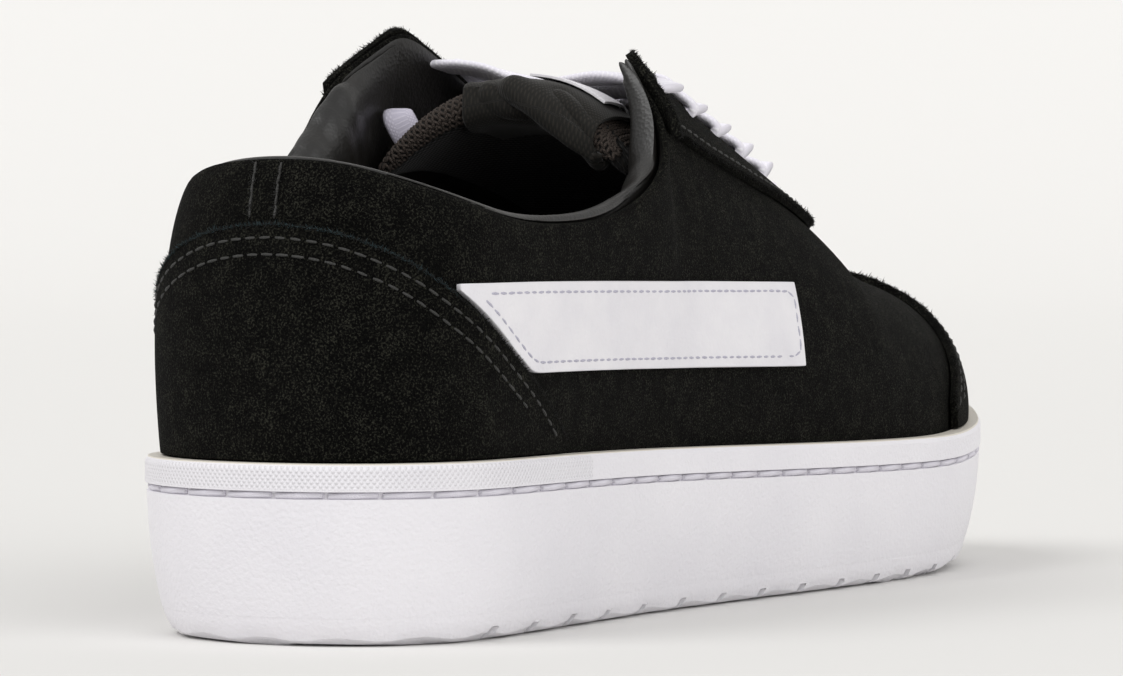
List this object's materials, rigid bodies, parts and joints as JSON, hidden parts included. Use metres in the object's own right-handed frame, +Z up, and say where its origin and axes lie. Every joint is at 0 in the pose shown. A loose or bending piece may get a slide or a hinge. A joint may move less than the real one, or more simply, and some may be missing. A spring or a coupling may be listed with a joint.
{
  "type": "skateboarding shoe",
  "caption": "Low right skate shoe: suede upper with padded collar, tongue and flat laces in a deep moulded rubber cup sole.",
  "frame": {"origin": "middle of the shoe's bounding box, on the ground it stands on", "axes": "+X towards the toe, +Y towards the inner side of the foot, +Z up"},
  "size_m": [0.296, 0.1026, 0.1153],
  "materials": {
    "tread_rubber": "white rubber",
    "wall_rubber": "white rubber with a fine pebble",
    "insole_fabric": "black fabric over foam",
    "suede": "black suede, matte",
    "lining_leather": "smooth black leather",
    "white_leather": "smooth white leather",
    "tongue_mesh": "coarse brown-black mesh",
    "label_weave": "black weave",
    "lace_cotton": "flat white weave"
  },
  "bodies": {
    "root": {"outsole": "tread_rubber", "cup_sole": "wall_rubber", "insole": "insole_fabric", "upper": "suede", "collar_lining": "lining_leather", "heel_counter": "suede", "toe_cap": "suede", "side_band_outer": "white_leather", "side_band_inner": "white_leather", "eyestay_outer": "suede", "eyestay_inner": "suede", "tongue": "tongue_mesh", "tongue_label": "label_weave", "lace_crossing_1": "lace_cotton", "lace_crossing_2": "lace_cotton", "lace_crossing_3": "lace_cotton", "lace_crossing_4": "lace_cotton", "lace_crossing_5": "lace_cotton"}
  },
  "joints": []
}
